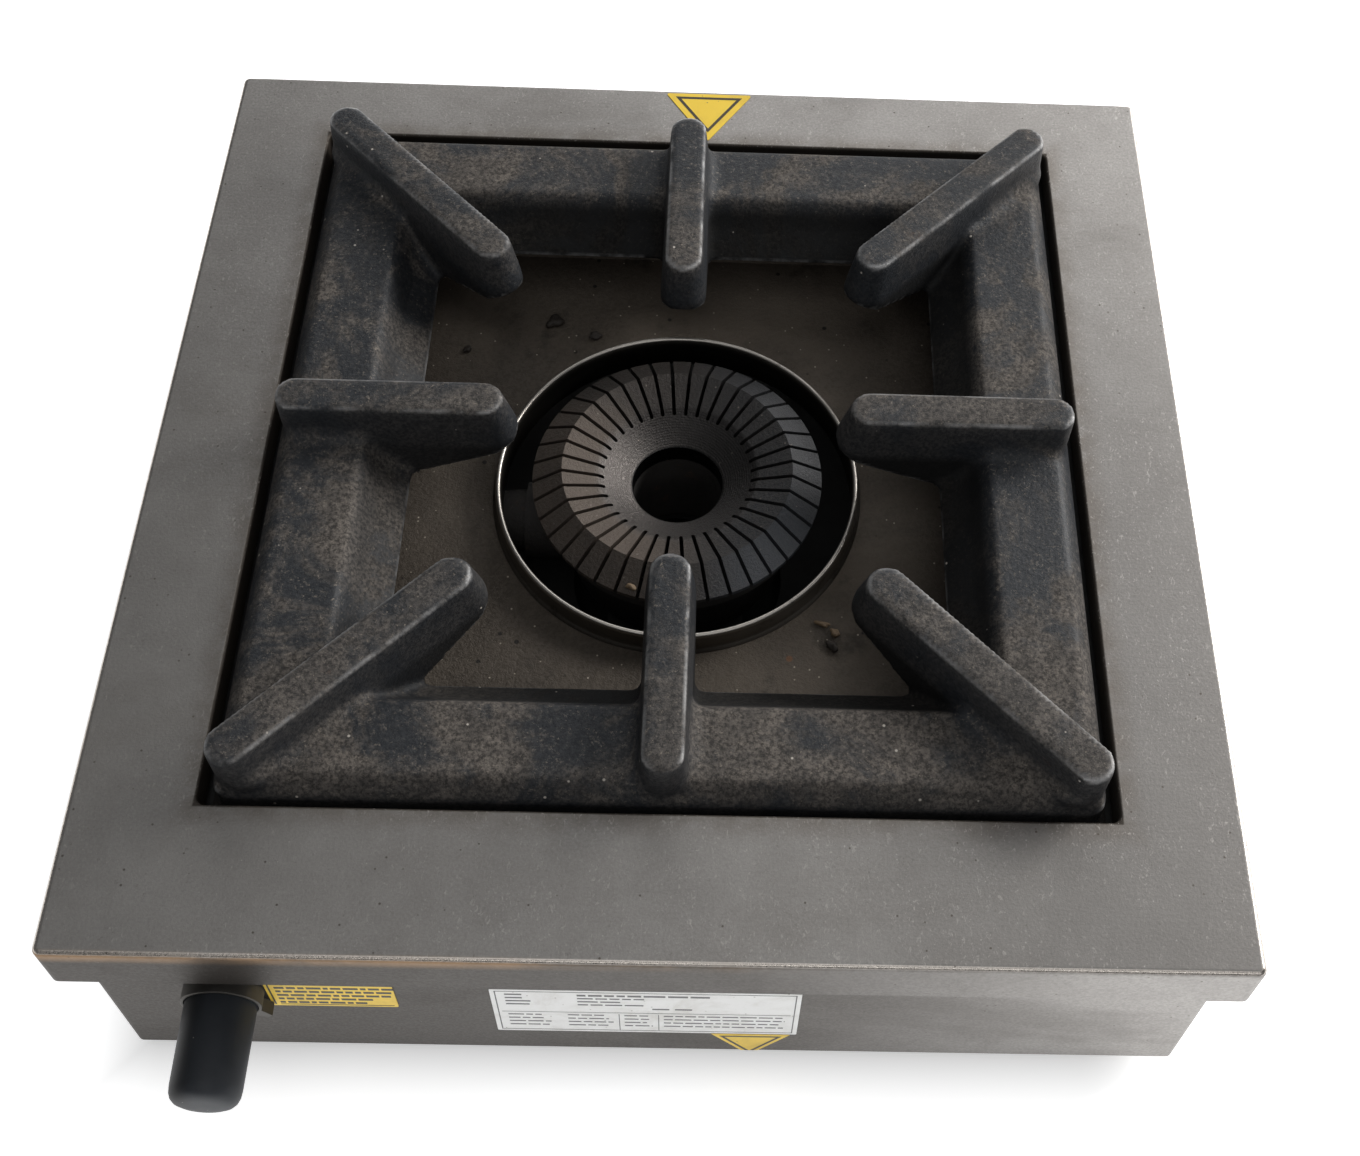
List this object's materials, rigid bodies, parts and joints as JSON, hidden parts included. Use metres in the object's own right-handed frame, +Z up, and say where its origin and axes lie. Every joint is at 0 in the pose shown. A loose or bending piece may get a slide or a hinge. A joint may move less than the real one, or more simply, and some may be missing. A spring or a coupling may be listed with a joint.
{
  "type": "countertop gas burner",
  "caption": "Square stainless countertop gas burner with a cast-iron pan support, slotted ring burner, drip tray and one push-and-turn knob.",
  "frame": {"origin": "on the burner axis at floor level, midway between knob end and hose nipple end", "axes": "+Z up, -Y to the front (knob side), +X to the right"},
  "size_m": [0.4, 0.484, 0.142],
  "materials": {
    "stainless": "satin, dull",
    "galvanised": "dull zinc",
    "grate_iron": "rough, dusty",
    "burner_iron": "machined, oxidised",
    "cap_iron": "machined, heat tinted",
    "tray_steel": "matt enamel, dusty",
    "collar_steel": "worn",
    "brass": "satin",
    "copper": "satin",
    "pipe_steel": "satin",
    "bezel_metal": "satin",
    "knob_plastic": "satin black",
    "screw_zinc": "bright zinc",
    "spring_steel": "plain",
    "rubber": "matt",
    "fibre": "fibre",
    "label_white": "satin",
    "label_yellow": "satin"
  },
  "bodies": {
    "housing": {"top_plate": "stainless", "body_shell": "stainless", "rear_panel": "stainless", "base_plate": "galvanised", "ledge_frame": "galvanised", "plate_clips": "galvanised", "burner_body": "burner_iron", "burner_bridge": "galvanised", "venturi_tube": "burner_iron", "injector": "brass", "injector_elbow": "brass", "injector_bracket": "galvanised", "gas_valve": "brass", "return_spring": "spring_steel", "valve_nut": "brass", "knob_bezel": "bezel_metal", "burner_pipe": "copper", "supply_pipe": "pipe_steel", "compression_nuts": "brass", "inlet_bulkhead": "brass", "inlet_washer": "fibre", "inlet_locknut": "brass", "hose_nipple": "brass", "thermocouple_probe": "collar_steel", "thermocouple_lead": "copper", "thermocouple_clip": "galvanised", "casing_screws": "screw_zinc", "panel_screws": "screw_zinc", "bridge_screws": "screw_zinc", "burner_screws": "screw_zinc", "burner_nuts": "screw_zinc", "rubber_feet": "rubber", "foot_screws": "screw_zinc", "foot_nuts": "screw_zinc", "data_plate": "label_white", "notice_label": "label_yellow", "triangle_front": "label_yellow", "triangle_top": "label_yellow"},
    "tray": {"drip_tray": "tray_steel", "burner_collar": "collar_steel"},
    "support": {"pan_support": "grate_iron"},
    "cap": {"burner_cap": "cap_iron"},
    "shutter": {"air_shutter": "galvanised"},
    "push": {"spring_cup": "screw_zinc"},
    "control": {"knob": "knob_plastic", "knob_screw": "screw_zinc", "valve_spindle": "brass"}
  },
  "joints": [
    {"name": "tray_lift", "type": "slide", "parent": "housing", "child": "tray", "axis": [0, 0, 1], "range_m": [0, 0.08]},
    {"name": "support_lift", "type": "slide", "parent": "tray", "child": "support", "axis": [0, 0, 1], "range_m": [0, 0.1]},
    {"name": "cap_lift", "type": "slide", "parent": "housing", "child": "cap", "axis": [0, 0, 1], "range_m": [0, 0.09]},
    {"name": "shutter_turn", "type": "hinge", "parent": "housing", "child": "shutter", "pos_m": [-0.115, 0, 0.056], "axis": [1, 0, 0], "range_deg": [-60, 60]},
    {"name": "knob_push", "type": "slide", "parent": "housing", "child": "push", "axis": [0, 1, 0], "range_m": [0, 0.0025], "stiffness_N_per_m": 1500, "springref_m": -0.004, "deforming": ["return_spring"]},
    {"name": "knob_turn", "type": "hinge", "parent": "push", "child": "control", "pos_m": [-0.149, -0.22, 0.07], "axis": [0, -1, 0], "range_deg": [0, 180]}
  ]
}
